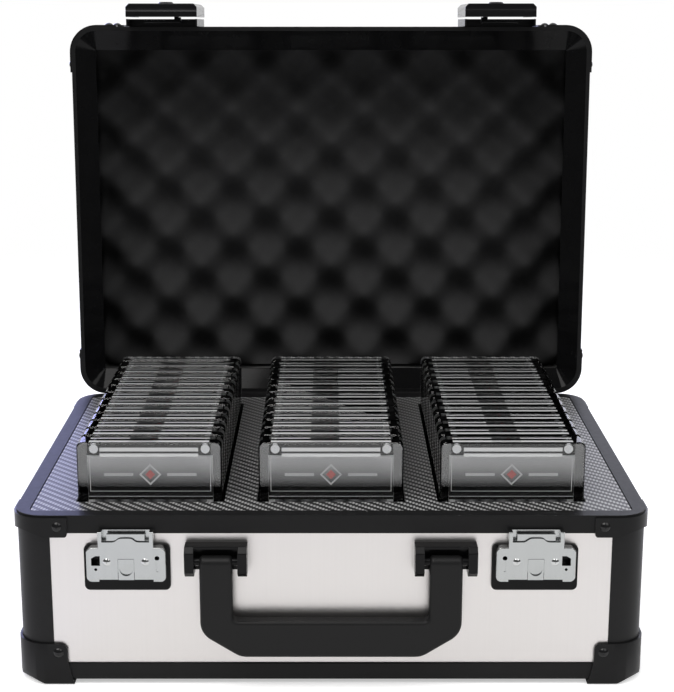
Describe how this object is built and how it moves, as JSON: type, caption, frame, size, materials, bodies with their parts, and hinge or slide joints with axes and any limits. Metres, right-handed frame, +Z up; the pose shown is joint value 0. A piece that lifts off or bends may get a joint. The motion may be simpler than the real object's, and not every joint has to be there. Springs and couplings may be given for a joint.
{
  "type": "graded card storage case",
  "caption": "Latched hard case with a hinged foam-lined lid and a slotted tray holding rows of clear card holders.",
  "frame": {"origin": "on the surface the case stands on, under the middle of its base", "axes": "+X to the viewer's right along the front, +Y from the front (the handle side) to the hinges, +Z up; the lid is stored open at 92 degrees"},
  "size_m": [0.3552, 0.3542, 0.3686],
  "materials": {
    "silver_panel": "satin",
    "black_rail": "gloss",
    "corner_metal": "gloss",
    "rivet": "gloss",
    "foot_rubber": "matt",
    "tray_foam": "matt foam",
    "deck_sheet": "twill weave under a clear coat",
    "black_metal": "gloss",
    "handle_plastic": "fine grain",
    "latch_chrome": "satin bright",
    "pin_steel": "bright",
    "trim_gloss": "gloss",
    "lid_lining": "matt",
    "lid_foam": "matt foam",
    "holder_clear": "clear acrylic",
    "insert_print": "printed card",
    "magnet_plate": "bright"
  },
  "bodies": {
    "base": {"base_floor_panel": "silver_panel", "base_front_panel": "silver_panel", "base_back_panel": "silver_panel", "base_left_panel": "silver_panel", "base_right_panel": "silver_panel", "base_rim_rail": "black_rail", "base_lower_rail": "black_rail", "base_corner_posts": "black_rail", "base_rim_brackets": "corner_metal", "base_ball_corners": "corner_metal", "base_rivets": "rivet", "feet": "foot_rubber", "tray_foam": "tray_foam", "tray_deck": "deck_sheet", "handle_brackets": "black_metal", "handle_pins": "black_metal", "latch_backing_plates": "black_metal", "latch_plates": "latch_chrome", "latch_rivets": "latch_chrome", "latch_catch_pins": "pin_steel", "hinge_base_leaves": "black_metal", "hinge_pins": "pin_steel"},
    "lid": {"lid_top_panel": "silver_panel", "lid_front_panel": "silver_panel", "lid_back_panel": "silver_panel", "lid_left_panel": "silver_panel", "lid_right_panel": "silver_panel", "lid_rim_rail": "black_rail", "lid_upper_rail": "black_rail", "lid_corner_posts": "black_rail", "lid_rim_brackets": "corner_metal", "lid_ball_corners": "corner_metal", "lid_rivets": "rivet", "lid_trim_frame": "trim_gloss", "lid_liner": "lid_lining", "lid_foam": "lid_foam", "strike_brackets": "black_metal", "strike_lever_pins": "pin_steel", "hinge_lid_leaves": "black_metal"},
    "handle": {"handle_grip": "handle_plastic"},
    "left_catch": {"left_latch_catch": "latch_chrome"},
    "left_tongue": {"left_thumb_tongue": "latch_chrome"},
    "left_lever": {"left_strike_lever": "black_metal"},
    "left_lock": {"left_lock_barrel": "pin_steel"},
    "right_catch": {"right_latch_catch": "latch_chrome"},
    "right_tongue": {"right_thumb_tongue": "latch_chrome"},
    "right_lever": {"right_strike_lever": "black_metal"},
    "right_lock": {"right_lock_barrel": "pin_steel"},
    "left_row": {"left_row_front_shells": "holder_clear", "left_row_back_shells": "holder_clear", "left_row_inserts": "insert_print", "left_row_magnets": "magnet_plate"},
    "middle_row": {"middle_row_front_shells": "holder_clear", "middle_row_back_shells": "holder_clear", "middle_row_inserts": "insert_print", "middle_row_magnets": "magnet_plate"},
    "right_row": {"right_row_front_shells": "holder_clear", "right_row_back_shells": "holder_clear", "right_row_inserts": "insert_print", "right_row_magnets": "magnet_plate"}
  },
  "joints": [
    {"name": "lid_hinge", "type": "hinge", "parent": "base", "child": "lid", "pos_m": [0, 0.1265, 0.1002], "axis": [1, 0, 0], "range_deg": [0, 92]},
    {"name": "handle_swing", "type": "hinge", "parent": "base", "child": "handle", "pos_m": [0, -0.132, 0.0755], "axis": [-1, 0, 0], "range_deg": [0, 100]},
    {"name": "left_tongue_slide", "type": "slide", "parent": "base", "child": "left_tongue", "axis": [0, 0, -1], "range_m": [0, 0.003], "stiffness_N_per_m": 400, "springref_m": -0.002},
    {"name": "left_catch_hinge", "type": "hinge", "parent": "base", "child": "left_catch", "pos_m": [-0.112, -0.13, 0.085], "axis": [1, 0, 0], "range_deg": [0, 8]},
    {"name": "left_lever_hinge", "type": "hinge", "parent": "lid", "child": "left_lever", "pos_m": [-0.112, 0.1788, 0.36003], "axis": [-1, 0, 0], "range_deg": [0, 35]},
    {"name": "left_lock_turn", "type": "hinge", "parent": "left_lever", "child": "left_lock", "pos_m": [-0.112, 0.15003, 0.36704], "axis": [0, 0.0349, 0.9994], "range_deg": [0, 90]},
    {"name": "right_tongue_slide", "type": "slide", "parent": "base", "child": "right_tongue", "axis": [0, 0, -1], "range_m": [0, 0.003], "stiffness_N_per_m": 400, "springref_m": -0.002},
    {"name": "right_catch_hinge", "type": "hinge", "parent": "base", "child": "right_catch", "pos_m": [0.112, -0.13, 0.085], "axis": [1, 0, 0], "range_deg": [0, 8]},
    {"name": "right_lever_hinge", "type": "hinge", "parent": "lid", "child": "right_lever", "pos_m": [0.112, 0.1788, 0.36003], "axis": [-1, 0, 0], "range_deg": [0, 35]},
    {"name": "right_lock_turn", "type": "hinge", "parent": "right_lever", "child": "right_lock", "pos_m": [0.112, 0.15003, 0.36704], "axis": [0, 0.0349, 0.9994], "range_deg": [0, 90]},
    {"name": "left_row_lift", "type": "slide", "parent": "base", "child": "left_row", "axis": [0, 0, -1], "range_m": [-0.12, 0]},
    {"name": "middle_row_lift", "type": "slide", "parent": "base", "child": "middle_row", "axis": [0, 0, -1], "range_m": [-0.12, 0]},
    {"name": "right_row_lift", "type": "slide", "parent": "base", "child": "right_row", "axis": [0, 0, -1], "range_m": [-0.12, 0]}
  ],
  "couplings": [
    {"joint": "left_catch_hinge", "follows": "left_tongue_slide", "rad_per_m": 46.496},
    {"joint": "right_catch_hinge", "follows": "right_tongue_slide", "rad_per_m": 46.496}
  ]
}
